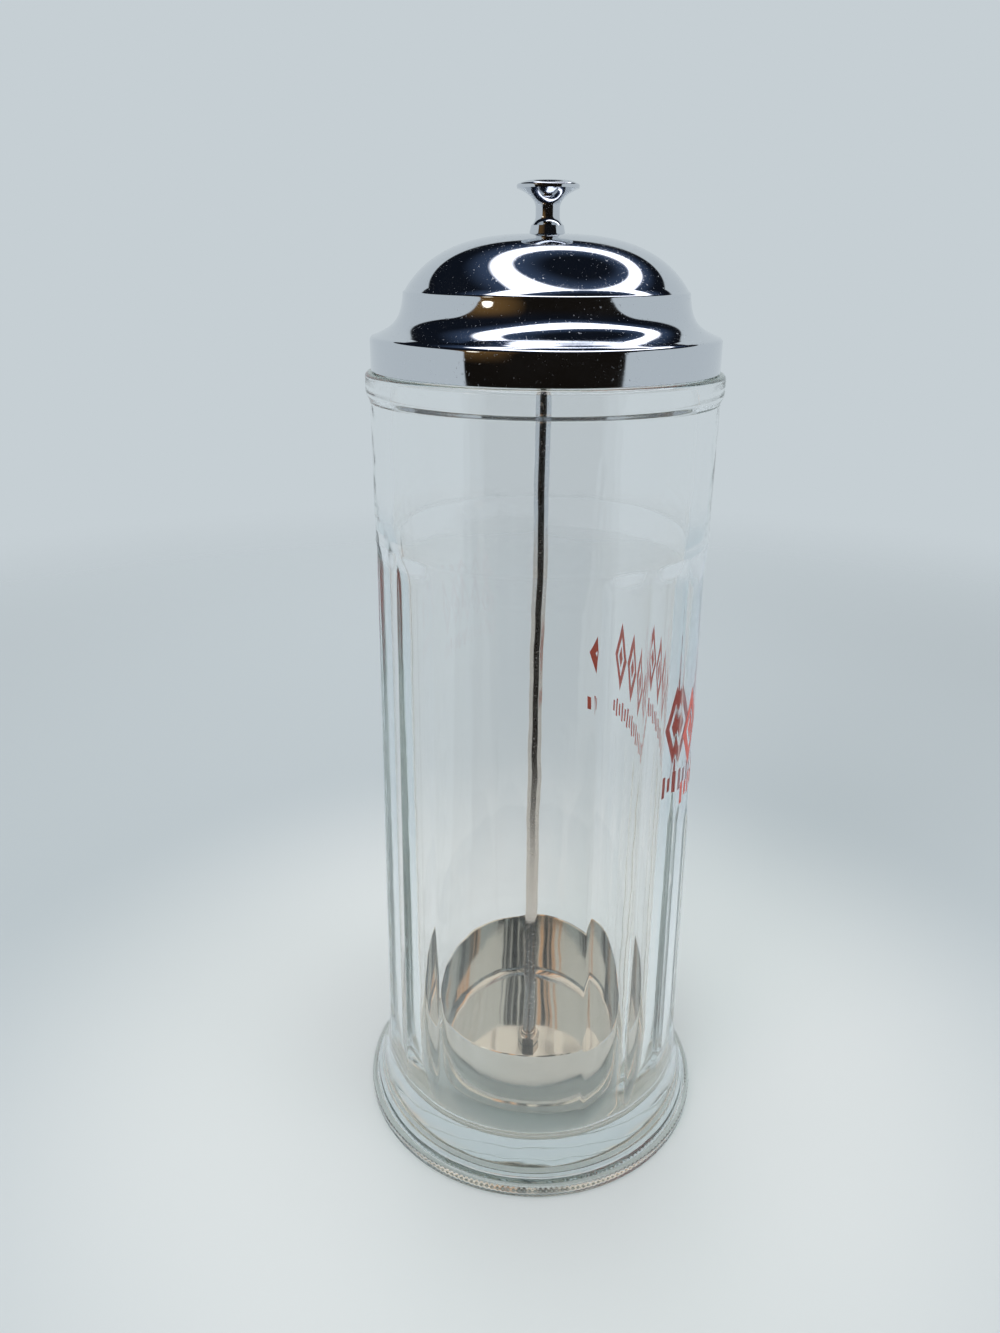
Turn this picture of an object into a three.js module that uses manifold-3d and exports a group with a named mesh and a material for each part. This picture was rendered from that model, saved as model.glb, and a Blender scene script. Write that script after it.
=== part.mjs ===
import * as THREE from 'three';
import { mergeVertices } from 'three/addons/utils/BufferGeometryUtils.js';
import Module from 'manifold-3d';

// Straw dispenser: a fluted glass jar, and an insert that lifts out of it. The insert is a cup for
// the straws' lower ends, a rod up the middle, a domed lid and a small trumpet knob.
// Millimetres, +Z up, origin under the middle of the foot, -Y towards the wide front panel.

// Fits
const seatGap = 0.3; // between pieces that rest on each other
const boreGap = 0.3; // round the rod's threads
const overrun = 1.0; // how far a cutter passes the face that it cuts

// Glass jar: heights, from the foot up
const footRoundHeight = 1.0;
const footSideHeight = 1.6;
const footTopRoundHeight = 1.5;
const flareHeight = 19.9;
const panelHeight = 151.0;
const panelSlopeHeight = 9.0;
const bandHeight = 33.0;
const beadHeight = 8.0;
const neckHeight = 6.0;
const pushUpHeight = 1.2; // the hollow under the foot
const floorThickness = 8.0;
const fluteRunOut = 6.0; // the flutes die away over this much above and below the flare's top
const shortFluteHeight = 86.0; // the flutes below the print, from the flare's top
const shortFluteRounding = 8.0; // their rounded tops

// Glass jar: radii and depths
const footRadius = 52.35;
const footRound = 1.0;
const footTopRound = 1.4;
const footLandWidth = 9.6; // the ring that the jar stands on
const ridgeRadiusLow = 46.3;
const ridgeRadiusHigh = 44.25;
const bandRadius = 44.1;
const beadProjection = 0.9;
const beadRound = 1.2;
const wallThickness = 5.1; // at the smooth band
const neckWall = 3.4;
const neckRound = 0.6;
const innerDraft = 0.8; // the bore is this much tighter in radius at the floor
const innerCorner = 6.5;
const recessDepth = 0.8; // of the flutes and panels below the ridges

// Glass jar: panels round the body, counted in flute widths from the front panel's left edge
const panelSpans = [3, 1, 1, 7, 1, 1, 3, 1, 1, 1];
const printPanel = 3; // the wide smooth panel, which has short flutes below it
const frontPanelTurn = -8; // degrees, from -Y to the middle of the front panel
const samplesPerFlute = 4;
const flareShares = [0, 0.2, 0.42, 0.7, 1];
const flareCurve = 2.5; // how sharply the flare sweeps out at the foot

// Lid: pressed from sheet and plated
const lidSheet = 0.7;
const lidFit = 0.4; // radial clearance over the jar's neck
const skirtHeight = 7.0;
const shoulderRound = 1.2;
const coveHeight = 9.4;
const coveInset = 7.2; // how far the cove draws in above the shoulder
const lipHeight = 0.9;
const lipInset = 0.5;
const domeHeight = 12.7;
const landRadius = 5.0; // the flat at the top, under the knob
const coveFootShares = [0.62, 0.21]; // the cove's two control points, of its inset and height
const coveWallShares = [0.9, 0.32];
const domeSideShares = [0.865, 0.59]; // the dome's two control points, of its radius and height
const domeCrownShares = [0.6, 1];

// Knob: turned and plated
const knobBaseRadius = 4.35;
const knobCollarRadius = 4.0;
const knobCollarHeight = 1.55;
const knobNeckRadius = 2.9;
const knobNeckHeight = 4.05;
const knobFlareHeight = 3.9;
const knobLipRadius = 7.5;
const knobLipHeight = 1.1;
const knobCrownHeight = 0.6;
const knobCrownInset = 0.8;
const knobBoreDepth = 7.0;
const knobFlareShares = [0.08, 0.62]; // the flare's control point, of its spread and height

// Rod, nuts and washers
const rodRadius = 2.0;
const rodChamfer = 0.4;
const nutFlats = 7.0;
const nutHeight = 3.2;
const thinNutHeight = 2.2;
const nutBossRadius = 2.75;
const nutBossHeight = 1.2;
const nutChamferShare = 0.6; // of the step from the flats to the corners
const washerRadius = 4.6;
const washerThickness = 0.8;

// Cup: drawn from stainless sheet and polished
const cupSheet = 0.6;
const cupHeight = 25.1;
const cupCorner = 3.4;
const cupClearance = 5.3; // to the jar's bore, all round

// Facets
const jarSegments = samplesPerFlute * panelSpans.reduce((sum, span) => sum + span, 0);
const lidSegments = 60;
const cupSegments = 60;
const smallSegments = 32;
const bendSteps = 3;
const curveSteps = 7;

// Where the pieces stand, all from the sizes above
const flareBottom = footRoundHeight + footSideHeight + footTopRoundHeight;
const flareTop = flareBottom + flareHeight;
const panelTop = flareTop + panelHeight;
const bandBottom = panelTop + panelSlopeHeight;
const beadBottom = bandBottom + bandHeight;
const jarShoulder = beadBottom + beadHeight;
const mouthRadius = bandRadius - wallThickness;
const boreRadiusLow = mouthRadius - innerDraft;
const neckRadius = mouthRadius + neckWall;
const lidHeight = skirtHeight + shoulderRound + coveHeight + lipHeight + domeHeight;
const threadRadius = rodRadius + boreGap;
const thinNutBase = floorThickness + seatGap;
const lowerWasherBase = thinNutBase + thinNutHeight + seatGap;
const cupBase = lowerWasherBase + washerThickness + seatGap;
const cupNutBase = cupBase + cupSheet + seatGap;
const lidBase = jarShoulder + seatGap;
const lidTop = lidBase + lidHeight;
const lidWasherBase = lidTop - lidSheet - seatGap - washerThickness;
const lidNutBase = lidWasherBase - seatGap - nutHeight;
const knobBase = lidTop + seatGap;
const rodTop = knobBase + knobBoreDepth - seatGap;
const rodLength = rodTop - thinNutBase;

const degrees = THREE.MathUtils.degToRad;
const point = (radius, height) => new THREE.Vector2(radius, height);

const glass = new THREE.MeshStandardMaterial({
  color: 0xdbe6e6, roughness: 0.04, metalness: 0, transparent: true, opacity: 0.35,
});
const chrome = new THREE.MeshStandardMaterial({ color: 0xd6d9de, roughness: 0.06, metalness: 1 });
const stainless = new THREE.MeshStandardMaterial({ color: 0xb9b3a6, roughness: 0.16, metalness: 1 });
const zincPlate = new THREE.MeshStandardMaterial({ color: 0xa9abac, roughness: 0.3, metalness: 1 });

// A turned piece. The outline runs up the outside and down the inside, so its faces point out.
function turned(outline, segments, start = 0) {
  return new THREE.LatheGeometry(outline, segments, start).rotateX(Math.PI / 2);
}

// A turned piece with a bore: the outline comes back to its first point.
function turnedRing(outline, segments) {
  return turned([...outline, outline[0].clone()], segments);
}

// Points on a quarter round, from one end to the other, both kept.
function quarter(centreRadius, centreHeight, radius, fromDegrees, toDegrees, height = radius) {
  const points = [];
  for (let step = 0; step <= bendSteps; step += 1) {
    const angle = degrees(fromDegrees + ((toDegrees - fromDegrees) * step) / bendSteps);
    const across = centreRadius + radius * Math.cos(angle);
    points.push(point(across, centreHeight + height * Math.sin(angle)));
  }
  return points;
}

// The second skin of a pressed sheet: each point moved one sheet's thickness to its left.
function inset(outline, thickness) {
  return outline.map((here, index) => {
    const before = outline[Math.max(index - 1, 0)];
    const after = outline[Math.min(index + 1, outline.length - 1)];
    const along = after.clone().sub(before).normalize();
    return point(here.x - along.y * thickness, here.y + along.x * thickness);
  });
}

// Solids for cuts and joins
const wasm = await Module();
wasm.setup();

function solidOf(geometry) {
  const bare = geometry.clone();
  bare.deleteAttribute('normal');
  bare.deleteAttribute('uv');
  const merged = mergeVertices(bare);
  const corners = merged.index ? [...merged.index.array] : [...merged.attributes.position.array.keys()];
  const kept = [];
  for (let at = 0; at < corners.length; at += 3) {
    const [a, b, c] = corners.slice(at, at + 3);
    if (a !== b && b !== c && c !== a) kept.push(a, b, c);
  }
  const vertProperties = new Float32Array(merged.attributes.position.array);
  const mesh = new wasm.Mesh({ numProp: 3, vertProperties, triVerts: new Uint32Array(kept) });
  return new wasm.Manifold(mesh);
}

function geometryOf(solid) {
  const { vertProperties, triVerts } = solid.getMesh();
  const geometry = new THREE.BufferGeometry();
  geometry.setAttribute('position', new THREE.BufferAttribute(new Float32Array(vertProperties), 3));
  geometry.setIndex(new THREE.BufferAttribute(new Uint32Array(triVerts), 1));
  geometry.computeVertexNormals();
  return geometry;
}

function cylinder(radius, from, to) {
  return turned([point(0, from), point(radius, from), point(radius, to), point(0, to)], smallSegments);
}

// Glass jar

// The radius over the ridges at a height, from the foot's edge to the top of the panels.
function ridgeRadius(height) {
  const footEdge = footRadius - footTopRound;
  if (height <= flareTop) {
    const climbed = (height - flareBottom) / flareHeight;
    return ridgeRadiusLow + (footEdge - ridgeRadiusLow) * (1 - climbed) ** flareCurve;
  }
  const along = (height - flareTop) / (bandBottom - flareTop);
  return ridgeRadiusLow + (ridgeRadiusHigh - ridgeRadiusLow) * along;
}

// The angles of the ridges between panels, and of the short ridges below the print.
function ridgeAngles() {
  const pitch = 360 / panelSpans.reduce((sum, span) => sum + span, 0);
  const full = [];
  const short = [];
  let angle = frontPanelTurn - (panelSpans[0] * pitch) / 2;
  panelSpans.forEach((span, panel) => {
    full.push(angle);
    for (let flute = 1; flute < span && panel === printPanel; flute += 1) {
      short.push(angle + flute * pitch);
    }
    angle += span * pitch;
  });
  return { pitch, full, short };
}

// How far a panel lies below the ridges: a hollow curve next to each ridge, then level.
function recessAt(angle, height, ridges) {
  const { pitch, full, short } = ridges;
  const fluteFoot = flareTop - fluteRunOut;
  const shortTop = flareTop + shortFluteHeight;
  const lowEnd = THREE.MathUtils.smoothstep(height, fluteFoot, flareTop + fluteRunOut);
  const highEnd = 1 - THREE.MathUtils.clamp((height - panelTop) / panelSlopeHeight, 0, 1);
  const shortEnd = 1 - THREE.MathUtils.smoothstep(height, shortTop - shortFluteRounding, shortTop);
  const rise = (ridge) => {
    const away = Math.abs(((angle - ridge + 540) % 360) - 180);
    return Math.max(0, 1 - away / (pitch / 2)) ** 2;
  };
  const highest = Math.max(...full.map(rise), ...short.map((ridge) => shortEnd * rise(ridge)));
  return recessDepth * lowEnd * highEnd * (1 - highest);
}

function jarOutline() {
  const footInner = footRadius - footRound - footLandWidth;
  const bodyHeights = [
    ...flareShares.map((share) => flareBottom + flareHeight * share),
    flareTop + fluteRunOut,
    flareTop + shortFluteHeight - shortFluteRounding,
    flareTop + shortFluteHeight - shortFluteRounding / 2,
    flareTop + shortFluteHeight,
    panelTop,
    panelTop + panelSlopeHeight / 2,
    bandBottom,
  ];
  const beadRadius = bandRadius + beadProjection;
  const neckTop = jarShoulder + neckHeight;
  return [
    point(0, pushUpHeight),
    point(footInner - pushUpHeight, pushUpHeight),
    point(footInner, 0),
    ...quarter(footRadius - footRound, footRoundHeight, footRound, -90, 0, footRoundHeight),
    ...quarter(footRadius - footTopRound, flareBottom - footTopRoundHeight, footTopRound, 0, 60,
      footTopRoundHeight),
    ...bodyHeights.map((height) => point(ridgeRadius(height), height)),
    point(bandRadius, beadBottom),
    ...quarter(beadRadius - beadRound, beadBottom + beadRound, beadRound, -60, 0),
    ...quarter(beadRadius - beadRound, jarShoulder - beadRound, beadRound, 0, 90),
    point(neckRadius, jarShoulder),
    ...quarter(neckRadius - neckRound, neckTop - neckRound, neckRound, 0, 90),
    point(mouthRadius + neckRound, neckTop),
    point(mouthRadius, neckTop - neckRound),
    ...quarter(boreRadiusLow - innerCorner, floorThickness + innerCorner, innerCorner, 0, -90),
    point(0, floorThickness),
  ];
}

function glassJar() {
  const ridges = ridgeAngles();
  const start = degrees(ridges.full[0]);
  const geometry = turned(jarOutline(), jarSegments, start);
  const places = geometry.attributes.position;
  for (let index = 0; index < places.count; index += 1) {
    const [x, y, z] = [places.getX(index), places.getY(index), places.getZ(index)];
    const radius = Math.hypot(x, y);
    const onPanels = radius > neckRadius && z > flareTop - fluteRunOut && z < bandBottom;
    if (onPanels) {
      const angle = THREE.MathUtils.radToDeg(Math.atan2(x, -y));
      const share = (radius - recessAt(angle, z, ridges)) / radius;
      places.setXY(index, x * share, y * share);
    }
  }
  return geometry;
}

// Lid

function lidOutline() {
  const skirtRadius = neckRadius + lidFit + lidSheet;
  const coveFoot = point(skirtRadius - shoulderRound, skirtHeight + shoulderRound);
  const coveTop = point(coveFoot.x - coveInset, coveFoot.y + coveHeight);
  const domeFoot = point(coveTop.x - lipInset, coveTop.y + lipHeight);
  const cove = new THREE.CubicBezierCurve(
    coveFoot,
    point(coveFoot.x - coveInset * coveFootShares[0], coveFoot.y + coveHeight * coveFootShares[1]),
    point(coveFoot.x - coveInset * coveWallShares[0], coveFoot.y + coveHeight * coveWallShares[1]),
    coveTop,
  );
  const dome = new THREE.CubicBezierCurve(
    domeFoot,
    point(domeFoot.x * domeSideShares[0], domeFoot.y + domeHeight * domeSideShares[1]),
    point(domeFoot.x * domeCrownShares[0], domeFoot.y + domeHeight * domeCrownShares[1]),
    point(landRadius, lidHeight),
  );
  const shoulder = quarter(coveFoot.x, skirtHeight, shoulderRound, 0, 60);
  return [
    point(skirtRadius, 0),
    ...shoulder,
    ...cove.getPoints(curveSteps),
    ...dome.getPoints(curveSteps),
    point(threadRadius, lidHeight),
  ];
}

function lidShell() {
  const outside = lidOutline();
  return turnedRing([...outside, ...inset(outside, lidSheet).reverse()], lidSegments);
}

// Knob

function trumpetKnob() {
  const neckTop = knobCollarHeight + knobNeckHeight;
  const flareEnd = neckTop + knobFlareHeight;
  const spread = knobLipRadius - knobNeckRadius;
  const waist = new THREE.QuadraticBezierCurve(
    point(knobCollarRadius, knobCollarHeight),
    point(knobNeckRadius, knobCollarHeight + (knobCollarRadius - knobNeckRadius)),
    point(knobNeckRadius, knobCollarHeight + knobNeckHeight / 2),
  );
  const flare = new THREE.QuadraticBezierCurve(
    point(knobNeckRadius, neckTop),
    point(knobNeckRadius + spread * knobFlareShares[0], neckTop + knobFlareHeight * knobFlareShares[1]),
    point(knobLipRadius, flareEnd),
  );
  const lipTop = flareEnd + knobLipHeight;
  const outline = [
    point(threadRadius, 0),
    point(knobBaseRadius, 0),
    ...waist.getPoints(bendSteps),
    ...flare.getPoints(curveSteps),
    point(knobLipRadius, lipTop),
    point(knobLipRadius - knobCrownInset, lipTop + knobCrownHeight),
    point(0, lipTop + knobCrownHeight),
  ];
  const bored = [...outline, point(0, knobBoreDepth), point(threadRadius, knobBoreDepth)];
  return turned([...bored, outline[0].clone()], smallSegments);
}

// Rod, nuts and washers

function liftRod() {
  return turned([
    point(0, 0),
    point(rodRadius - rodChamfer, 0),
    point(rodRadius, rodChamfer),
    point(rodRadius, rodLength - rodChamfer),
    point(rodRadius - rodChamfer, rodLength),
    point(0, rodLength),
  ], smallSegments);
}

function washer() {
  return turnedRing([
    point(threadRadius, 0),
    point(washerRadius, 0),
    point(washerRadius, washerThickness),
    point(threadRadius, washerThickness),
  ], smallSegments);
}

// A hexagon nut with chamfered corners, and a round boss on top where bossHeight asks for one.
function hexNut(height, bossHeight) {
  const cornerRadius = nutFlats / 2 / Math.cos(degrees(30));
  const corners = [];
  for (let side = 0; side < 6; side += 1) {
    const angle = degrees(60 * side);
    corners.push(point(cornerRadius * Math.cos(angle), cornerRadius * Math.sin(angle)));
  }
  const depth = height + 2 * overrun;
  const prism = new THREE.ExtrudeGeometry(new THREE.Shape(corners), { depth, bevelEnabled: false });
  prism.translate(0, 0, -overrun);
  const chamfer = (cornerRadius - nutFlats / 2) * nutChamferShare;
  const wide = cornerRadius + overrun;
  const slope = chamfer + overrun * nutChamferShare;
  const trim = turned([
    point(0, 0),
    point(cornerRadius - chamfer, 0),
    point(wide, slope),
    point(wide, height - slope),
    point(cornerRadius - chamfer, height),
    point(0, height),
  ], smallSegments);
  const body = solidOf(prism).intersect(solidOf(trim));
  const withBoss = bossHeight > 0
    ? body.add(solidOf(cylinder(nutBossRadius, height / 2, height + bossHeight)))
    : body;
  const bore = cylinder(threadRadius, -overrun, height + bossHeight + overrun);
  return geometryOf(withBoss.subtract(solidOf(bore)));
}

// Cup

function strawCup() {
  const cupRadius = boreRadiusLow - cupClearance;
  const innerRound = cupCorner - cupSheet;
  const centre = cupRadius - cupCorner;
  return turnedRing([
    point(threadRadius, 0),
    ...quarter(centre, cupCorner, cupCorner, -90, 0),
    point(cupRadius, cupHeight),
    point(cupRadius - cupSheet, cupHeight),
    ...quarter(centre, cupCorner, innerRound, 0, -90),
    point(threadRadius, cupSheet),
  ], cupSegments);
}

function placed(name, geometry, material, height = 0) {
  const mesh = new THREE.Mesh(geometry, material);
  mesh.name = name;
  mesh.position.z = height;
  return mesh;
}

const insert = new THREE.Group();
insert.add(placed('lift_rod', liftRod(), chrome, thinNutBase));
insert.add(placed('cup_thin_nut', hexNut(thinNutHeight, 0), zincPlate, thinNutBase));
insert.add(placed('cup_washer', washer(), zincPlate, lowerWasherBase));
insert.add(placed('straw_cup', strawCup(), stainless, cupBase));
insert.add(placed('cup_nut', hexNut(nutHeight, nutBossHeight), zincPlate, cupNutBase));
insert.add(placed('lid_nut', hexNut(nutHeight, 0), zincPlate, lidNutBase));
insert.add(placed('lid_washer', washer(), zincPlate, lidWasherBase));
insert.add(placed('lid_shell', lidShell(), chrome, lidBase));
insert.add(placed('lift_knob', trumpetKnob(), chrome, knobBase));

const group = new THREE.Group();
group.add(placed('glass_jar', glassJar(), glass));
group.add(insert);

export default group;
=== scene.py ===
import math

import bpy
from mathutils import Matrix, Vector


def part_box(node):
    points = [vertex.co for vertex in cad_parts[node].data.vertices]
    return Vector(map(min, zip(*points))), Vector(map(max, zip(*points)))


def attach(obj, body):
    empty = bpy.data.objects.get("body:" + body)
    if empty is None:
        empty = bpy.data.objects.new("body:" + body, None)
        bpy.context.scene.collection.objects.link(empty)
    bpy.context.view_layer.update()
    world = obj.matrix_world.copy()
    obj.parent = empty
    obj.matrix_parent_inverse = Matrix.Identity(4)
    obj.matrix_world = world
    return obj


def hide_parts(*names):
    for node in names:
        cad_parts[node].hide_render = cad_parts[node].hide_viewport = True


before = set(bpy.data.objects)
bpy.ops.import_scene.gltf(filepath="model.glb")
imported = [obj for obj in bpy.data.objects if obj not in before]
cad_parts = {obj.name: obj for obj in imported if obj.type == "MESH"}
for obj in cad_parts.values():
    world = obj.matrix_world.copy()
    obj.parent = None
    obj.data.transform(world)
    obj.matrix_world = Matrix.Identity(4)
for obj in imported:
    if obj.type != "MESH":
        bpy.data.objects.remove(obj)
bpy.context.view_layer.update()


# Camera
# A phone held a little above the lid and close to the jar, looking down at it.
# Its place, lens and turn come from the ellipses of the rim, the band and the foot.

MM = 0.001
SENSOR_LONG_SIDE = 36.0
LENS = 27.03
CAMERA_PLACE = (0.0, -262.3, 250.4)
CAMERA_PITCH = 22.06
CAMERA_YAW = 2.36
CAMERA_ROLL = 0.31
CAMERA_NEAREST = 10.0


def metres(values):
    return tuple(value * MM for value in values)


bpy.ops.object.camera_add(location=metres(CAMERA_PLACE))
camera = bpy.context.object
camera.matrix_world = (
    Matrix.Translation(metres(CAMERA_PLACE))
    @ Matrix.Rotation(math.radians(CAMERA_YAW), 4, "Z")
    @ Matrix.Rotation(math.radians(90 - CAMERA_PITCH), 4, "X")
    @ Matrix.Rotation(math.radians(CAMERA_ROLL), 4, "Z")
)
camera.data.sensor_width = SENSOR_LONG_SIDE
camera.data.lens = LENS
camera.data.clip_start = CAMERA_NEAREST * MM
bpy.context.scene.camera = camera
bpy.context.scene.view_settings.view_transform = "Standard"


# Light tent
# Pale paper walls round the table, open towards the camera, where the room is dark, and a dark
# roof with a softbox that has a hole in its middle. The plated lid and knob mirror all of it.
# The cup stands inside and mirrors a warm room with dark door frames instead.

TENT_WALL = "C6CFD4"
DAYLIGHT = (0.60, 0.61, 0.62, 1.0)
ROOM = "15120F"
ROOM_WARM_SIDE = "6E5330"
ROOF = "11161F"
ROOF_HAZE = "556A8C"
OPENING, OPENING_ROUNDING = 0.628, 0.1
WALL_TOP, WALL_ROUNDING = 0.49, 0.05
WALL_EDGE = (0.985, 1.015)
WARM_LAMP = (-0.698, -0.680, 0.225)
WARM_GLOW, WARM_GLOW_FOOT = (0.86, 1.0), (-0.1, 0.02)
BULB, BULB_LIGHT = (0.9965, 0.998), (2.6, 2.4, 2.0, 1.0)
ROOF_RISE = (0.3, 0.62)
HAZE_SHARE, HAZE_AROUND, HAZE_INWARDS = 0.5, (1.5, 0.95), (0.45, 1.0)
SOFTBOX = (2.9, 2.95, 3.2, 1.0)
SOFTBOX_OUTER = ((0.26, -0.1), (0.69, 1.0))
SOFTBOX_HOLE = ((0.24, -0.25), (0.48, 0.61))
SOFTBOX_EDGE = 0.05
CUP_ROOM = "F2E0C8"
CUP_ROOM_RISE = (0.1, 0.25)
CUP_ROOM_STREAKS = (
    (31, 39, "55514A"),
    (10, 28, "3C3832"),
    (-12, 0, "5A554D"),
    (-20, -14, "FFBC85"),
    (-28, -20, "4B463F"),
    (-39, -28, "F5BA8C"),
    (-113, -92, "55514A"),
    (-160, -122, "3C3832"),
    (157, 178, "5A554D"),
    (141, 152, "FFBC85"),
    (121, 139, "4B463F"),
    (92, 121, "F5BA8C"),
)
STREAK_SOFTNESS = 1.5
BACK_STREAK_TOP = (0.69, 0.65)
LAMP_SIZE, LAMP_AIM = 420, (0, 0, 120)


def linear(hex_colour):
    channels = [int(hex_colour[at : at + 2], 16) / 255 for at in (0, 2, 4)]
    curved = [c / 12.92 if c <= 0.04045 else ((c + 0.055) / 1.055) ** 2.4 for c in channels]
    return (*curved, 1.0)


def add(tree, kind, inputs=None, out=0, **settings):
    """Adds a shader node with its settings, links and values, and gives one of its outputs."""
    made = tree.nodes.new("ShaderNode" + kind)
    for setting, value in settings.items():
        setattr(made, setting, value)
    for socket, value in (inputs or {}).items():
        if isinstance(value, bpy.types.NodeSocket):
            tree.links.new(value, made.inputs[socket])
        else:
            made.inputs[socket].default_value = value
    return made.outputs[out] if made.outputs else made


def light_tent():
    world = bpy.data.worlds.new("light tent")
    world.use_nodes = True
    tree = world.node_tree
    tree.nodes.clear()
    towards = add(tree, "TexCoord")
    across, along, up = (add(tree, "SeparateXYZ", {0: towards}, out=axis) for axis in range(3))

    # The walls: a direction is past them when it leads far enough to the front or up.
    level = add(tree, "VectorMath", {0: towards, 1: (1, 1, 0)}, operation="MULTIPLY")
    reach = add(tree, "VectorMath", {0: level}, out=1, operation="LENGTH")
    frontness = add(tree, "Math", {0: along, 1: reach}, operation="DIVIDE")
    span = (1 - OPENING_ROUNDING) / (OPENING - OPENING_ROUNDING)
    open_share = add(tree, "MapRange", {0: frontness, 1: -OPENING_ROUNDING, 2: -1.0, 4: span})
    rise = (1 - WALL_ROUNDING) / (WALL_TOP - WALL_ROUNDING)
    high_share = add(tree, "MapRange", {0: up, 1: WALL_ROUNDING, 2: 1.0, 4: rise})
    corner = add(tree, "CombineXYZ", {0: open_share, 1: high_share})
    past_wall = add(tree, "VectorMath", {0: corner}, out=1, operation="LENGTH")
    beyond_wall = add(tree, "MapRange", {0: past_wall, 1: WALL_EDGE[0], 2: WALL_EDGE[1]})

    # The dark room in front, with a warm lamp in it.
    lampness = add(tree, "VectorMath", {0: towards, 1: WARM_LAMP}, out=1, operation="DOT_PRODUCT")
    low, high = WARM_GLOW_FOOT
    level_up = add(tree, "MapRange", {0: up, 1: low, 2: high})
    low, high = WARM_GLOW
    glow = add(tree, "MapRange", {0: lampness, 1: low, 2: high, 4: level_up})
    low, high = BULB
    bulb = add(tree, "MapRange", {0: lampness, 1: low, 2: high}, interpolation_type="SMOOTHSTEP")
    room = add(
        tree, "Mix", {0: glow, 6: linear(ROOM), 7: linear(ROOM_WARM_SIDE)}, out=2, data_type="RGBA"
    )
    lit_room = add(tree, "Mix", {0: bulb, 6: room, 7: BULB_LIGHT}, out=2, data_type="RGBA")

    # The ceiling, laid out flat: the softbox is an ellipse on it, with another for its hole.
    above = add(tree, "Math", {0: up, 1: 0.001}, operation="MAXIMUM")
    ceiling = add(
        tree,
        "CombineXYZ",
        {
            0: add(tree, "Math", {0: across, 1: above}, operation="DIVIDE"),
            1: add(tree, "Math", {0: along, 1: above}, operation="DIVIDE"),
        },
    )
    reaches = []
    for (right, near), (wide, deep) in (SOFTBOX_OUTER, SOFTBOX_HOLE):
        centred = add(
            tree,
            "Mapping",
            {0: ceiling, 1: (-right / wide, near / deep, 0), 3: (1 / wide, 1 / deep, 0)},
        )
        reaches.append(add(tree, "VectorMath", {0: centred}, out=1, operation="LENGTH"))
    outside, hole = reaches
    far, near = HAZE_AROUND
    around = add(
        tree,
        "MapRange",
        {0: outside, 1: far, 2: near, 4: HAZE_SHARE},
        interpolation_type="SMOOTHSTEP",
    )
    low, high = HAZE_INWARDS
    inwards = add(tree, "MapRange", {0: hole, 1: low, 2: high}, interpolation_type="SMOOTHSTEP")
    haze = add(tree, "Math", {0: around, 1: inwards}, operation="MULTIPLY")
    hazy = add(
        tree, "Mix", {0: haze, 6: linear(ROOF), 7: linear(ROOF_HAZE)}, out=2, data_type="RGBA"
    )
    low, high = ROOF_RISE
    overhead = add(tree, "MapRange", {0: up, 1: low, 2: high}, interpolation_type="SMOOTHSTEP")
    dark = add(tree, "Mix", {0: overhead, 6: lit_room, 7: hazy}, out=2, data_type="RGBA")
    roof = add(
        tree, "Mix", {0: beyond_wall, 6: linear(TENT_WALL), 7: dark}, out=2, data_type="RGBA"
    )
    edge = SOFTBOX_EDGE
    within = add(
        tree, "MapRange", {0: outside, 1: 1 + edge, 2: 1 - edge}, interpolation_type="SMOOTHSTEP"
    )
    beyond = add(
        tree, "MapRange", {0: hole, 1: 1 - edge, 2: 1 + edge}, interpolation_type="SMOOTHSTEP"
    )
    ring = add(tree, "Math", {0: within, 1: beyond}, operation="MULTIPLY")
    over_lid = add(tree, "Mix", {0: ring, 6: roof, 7: SOFTBOX}, out=2, data_type="RGBA")

    # The cup's room: streaks between two bearings each, and those at the back end below the roof.
    ahead = add(tree, "Math", {0: along, 1: -1}, operation="MULTIPLY")
    turned = add(tree, "Math", {0: across, 1: ahead}, operation="ARCTAN2")
    bearing = add(tree, "Math", {0: turned}, operation="DEGREES")
    high, low = BACK_STREAK_TOP
    below_top = add(tree, "MapRange", {0: up, 1: high, 2: low})
    in_cup = linear(CUP_ROOM)
    for start, end, streak in CUP_ROOM_STREAKS:
        offset = add(tree, "Math", {0: bearing, 1: (start + end) / 2}, operation="SUBTRACT")
        away = add(tree, "Math", {0: offset}, operation="ABSOLUTE")
        half = (end - start) / 2
        outer, inner = half + STREAK_SOFTNESS, half - STREAK_SOFTNESS
        most = below_top if abs(start) > 90 else 1.0
        share = add(tree, "MapRange", {0: away, 1: outer, 2: inner, 4: most})
        in_cup = add(
            tree, "Mix", {0: share, 6: in_cup, 7: linear(streak)}, out=2, data_type="RGBA"
        )

    # A mirror path that has passed one skin of glass comes from the jar, and three from the cup.
    skins = add(tree, "LightPath", out="Transmission Depth")
    from_cup = add(tree, "Math", {0: skins, 1: 2.5}, operation="GREATER_THAN")
    in_jar = add(
        tree, "Mix", {0: from_cup, 6: linear(TENT_WALL), 7: in_cup}, out=2, data_type="RGBA"
    )
    through_jar = add(tree, "Math", {0: skins, 1: 0.5}, operation="GREATER_THAN")
    low, high = CUP_ROOM_RISE
    raised = add(tree, "MapRange", {0: up, 1: low, 2: high}, interpolation_type="SMOOTHSTEP")
    inside = add(tree, "Math", {0: through_jar, 1: raised}, operation="MULTIPLY")
    mirrored = add(tree, "Mix", {0: inside, 6: over_lid, 7: in_jar}, out=2, data_type="RGBA")

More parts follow.
